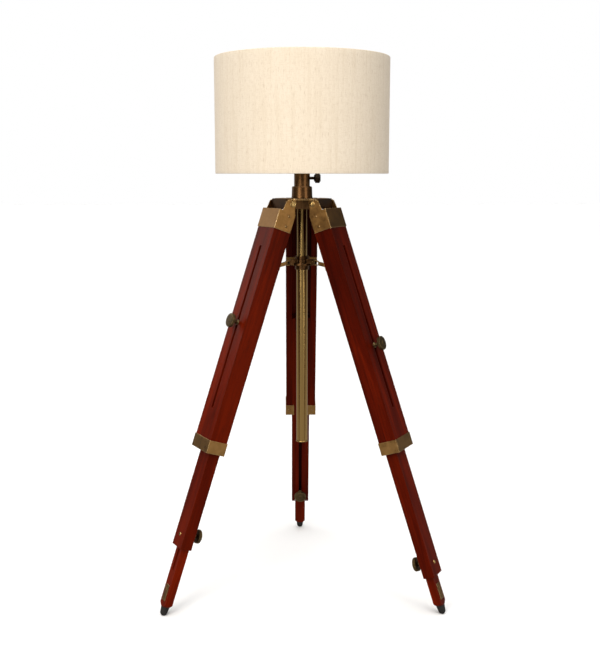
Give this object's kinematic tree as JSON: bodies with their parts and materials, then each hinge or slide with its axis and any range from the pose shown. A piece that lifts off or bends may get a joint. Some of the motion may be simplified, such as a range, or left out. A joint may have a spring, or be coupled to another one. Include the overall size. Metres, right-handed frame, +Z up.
{
  "type": "tripod floor lamp",
  "caption": "Tripod floor lamp with folding telescoping wooden legs, antique brass fittings, a central column and a drum shade.",
  "frame": {"origin": "on the floor, under the column's axis", "axes": "+Z up along the column; -Y towards the open side between the left and right legs; +X along the thumbscrew"},
  "size_m": [0.6664, 0.5858, 1.2764],
  "materials": {
    "mahogany": "satin lacquer over deep red mahogany stain",
    "antique_brass": "antiqued, lightly brushed",
    "bright_brass": "polished, a little tarnished",
    "knob_brass": "dark antiqued, knurled",
    "tube_brass": "brushed along its length, lacquered",
    "dark_bronze": "dark bronze patina",
    "brown_brass": "brown patina, turned",
    "black_bronze": "near black patina",
    "rubber": "matt black",
    "bakelite": "gloss black",
    "porcelain": "glazed white",
    "bulb_cap_metal": "spun",
    "frosted_glass": "frosted",
    "white_wire": "white powder coat",
    "shade_liner": "matt cream",
    "linen": "slubbed linen, off-white"
  },
  "bodies": {
    "head": {"hub_casting": "dark_bronze", "hub_plate": "antique_brass", "hinge_bolts": "bright_brass", "neck_collar": "brown_brass", "neck_stub": "dark_bronze", "column_upper": "tube_brass", "column_lower": "tube_brass", "column_bush": "tube_brass"},
    "thumbscrew": {"thumbscrew": "black_bronze"},
    "spreader": {"spreader_collar": "antique_brass"},
    "lamp": {"lamp_rod": "tube_brass", "holder_cap": "tube_brass", "holder_shell": "bakelite", "holder_core": "porcelain", "holder_ring_nut": "bakelite", "bulb_cap": "bulb_cap_metal", "bulb_glass": "frosted_glass"},
    "shade": {"shade_frame": "white_wire", "shade_top_ring": "white_wire", "shade_liner": "shade_liner", "shade_cover": "linen"},
    "left_leg": {"left_upper_stage": "mahogany", "left_hinge_cap": "antique_brass", "left_ferrule": "antique_brass", "left_leg_screws": "bright_brass", "left_spreader_bracket": "antique_brass"},
    "left_link": {"left_spreader_link": "antique_brass"},
    "left_middle": {"left_middle_stage": "mahogany", "left_clamp_bolts": "bright_brass"},
    "left_upper_knob": {"left_upper_knob": "knob_brass"},
    "left_lower_knob": {"left_lower_knob": "knob_brass"},
    "left_lower": {"left_lower_stage": "mahogany", "left_foot_plate": "antique_brass", "left_rubber_tip": "rubber"},
    "right_leg": {"right_upper_stage": "mahogany", "right_hinge_cap": "antique_brass", "right_ferrule": "antique_brass", "right_leg_screws": "bright_brass", "right_spreader_bracket": "antique_brass"},
    "right_link": {"right_spreader_link": "antique_brass"},
    "right_middle": {"right_middle_stage": "mahogany", "right_clamp_bolts": "bright_brass"},
    "right_upper_knob": {"right_upper_knob": "knob_brass"},
    "right_lower_knob": {"right_lower_knob": "knob_brass"},
    "right_lower": {"right_lower_stage": "mahogany", "right_foot_plate": "antique_brass", "right_rubber_tip": "rubber"},
    "rear_leg": {"rear_upper_stage": "mahogany", "rear_hinge_cap": "antique_brass", "rear_ferrule": "antique_brass", "rear_leg_screws": "bright_brass", "rear_spreader_bracket": "antique_brass"},
    "rear_link": {"rear_spreader_link": "antique_brass"},
    "rear_middle": {"rear_middle_stage": "mahogany", "rear_clamp_bolts": "bright_brass"},
    "rear_upper_knob": {"rear_upper_knob": "knob_brass"},
    "rear_lower_knob": {"rear_lower_knob": "knob_brass"},
    "rear_lower": {"rear_lower_stage": "mahogany", "rear_foot_plate": "antique_brass", "rear_rubber_tip": "rubber"}
  },
  "joints": [
    {"name": "lamp_height", "type": "slide", "parent": "head", "child": "lamp", "axis": [0, 0, 1], "range_m": [0, 0.12]},
    {"name": "shade_turn", "type": "hinge", "parent": "lamp", "child": "shade", "pos_m": [0, 0, 1.07137], "axis": [0, 0, 1], "continuous": true},
    {"name": "thumbscrew_turn", "type": "hinge", "parent": "head", "child": "thumbscrew", "pos_m": [0.02, 0, 1.00337], "axis": [1, 0, 0], "continuous": true},
    {"name": "left_fold", "type": "hinge", "parent": "head", "child": "left_leg", "pos_m": [-0.04244, -0.0245, 0.94437], "axis": [0.5, -0.866, 0], "range_deg": [0, 17.5]},
    {"name": "left_link_turn", "type": "hinge", "parent": "left_leg", "child": "left_link", "pos_m": [-0.06456, -0.03727, 0.79853], "axis": [0.5, -0.866, 0], "range_deg": [0, 64.73]},
    {"name": "left_middle_slide", "type": "slide", "parent": "left_leg", "child": "left_middle", "axis": [-0.2891, -0.1669, -0.9426], "range_m": [-0.183, 0.202]},
    {"name": "left_lower_slide", "type": "slide", "parent": "left_middle", "child": "left_lower", "axis": [-0.2891, -0.1669, -0.9426], "range_m": [-0.082, 0.3222]},
    {"name": "left_upper_knob_turn", "type": "hinge", "parent": "left_middle", "child": "left_upper_knob", "pos_m": [-0.15719, -0.09076, 0.67622], "axis": [-0.8164, -0.4713, 0.3338], "continuous": true},
    {"name": "left_lower_knob_turn", "type": "hinge", "parent": "left_middle", "child": "left_lower_knob", "pos_m": [-0.25572, -0.14764, 0.17759], "axis": [0.8164, 0.4713, -0.3338], "continuous": true},
    {"name": "right_fold", "type": "hinge", "parent": "head", "child": "right_leg", "pos_m": [0.04244, -0.0245, 0.94437], "axis": [0.5, 0.866, 0], "range_deg": [0, 17.5]},
    {"name": "right_link_turn", "type": "hinge", "parent": "right_leg", "child": "right_link", "pos_m": [0.06456, -0.03727, 0.79853], "axis": [0.5, 0.866, 0], "range_deg": [0, 64.73]},
    {"name": "right_middle_slide", "type": "slide", "parent": "right_leg", "child": "right_middle", "axis": [0.2891, -0.1669, -0.9426], "range_m": [-0.239, 0.146]},
    {"name": "right_lower_slide", "type": "slide", "parent": "right_middle", "child": "right_lower", "axis": [0.2891, -0.1669, -0.9426], "range_m": [-0.011, 0.3932]},
    {"name": "right_upper_knob_turn", "type": "hinge", "parent": "right_middle", "child": "right_upper_knob", "pos_m": [0.17338, -0.1001, 0.62343], "axis": [0.8164, -0.4713, 0.3338], "continuous": true},
    {"name": "right_lower_knob_turn", "type": "hinge", "parent": "right_middle", "child": "right_lower_knob", "pos_m": [0.27624, -0.15949, 0.11067], "axis": [-0.8164, 0.4713, -0.3338], "continuous": true},
    {"name": "rear_fold", "type": "hinge", "parent": "head", "child": "rear_leg", "pos_m": [0, 0.049, 0.94437], "axis": [-1, 0, 0], "range_deg": [0, 17.5]},
    {"name": "rear_link_turn", "type": "hinge", "parent": "rear_leg", "child": "rear_link", "pos_m": [0, 0.07455, 0.79853], "axis": [-1, 0, 0], "range_deg": [0, 64.73]},
    {"name": "rear_middle_slide", "type": "slide", "parent": "rear_leg", "child": "rear_middle", "axis": [0, 0.3338, -0.9426], "range_m": [-0.232, 0.153]},
    {"name": "rear_lower_slide", "type": "slide", "parent": "rear_middle", "child": "rear_lower", "axis": [0, 0.3338, -0.9426], "range_m": [-0.018, 0.3862]},
    {"name": "rear_upper_knob_turn", "type": "hinge", "parent": "rear_middle", "child": "rear_upper_knob", "pos_m": [0, 0.19787, 0.63003], "axis": [0, 0.9426, 0.3338], "continuous": true},
    {"name": "rear_lower_knob_turn", "type": "hinge", "parent": "rear_middle", "child": "rear_lower_knob", "pos_m": [0, 0.31664, 0.11727], "axis": [0, -0.9426, -0.3338], "continuous": true},
    {"name": "spreader_slide", "type": "slide", "parent": "head", "child": "spreader", "axis": [0, 0, 1], "range_m": [0, 0.03553]}
  ],
  "couplings": [
    {"joint": "right_fold", "follows": "left_fold", "ratio": 1},
    {"joint": "rear_fold", "follows": "left_fold", "ratio": 1},
    {"joint": "spreader_slide", "follows": "left_fold", "m_per_rad": 0.11633},
    {"joint": "left_link_turn", "follows": "left_fold", "ratio": 3.699},
    {"joint": "right_link_turn", "follows": "left_fold", "ratio": 3.699},
    {"joint": "rear_link_turn", "follows": "left_fold", "ratio": 3.699}
  ]
}
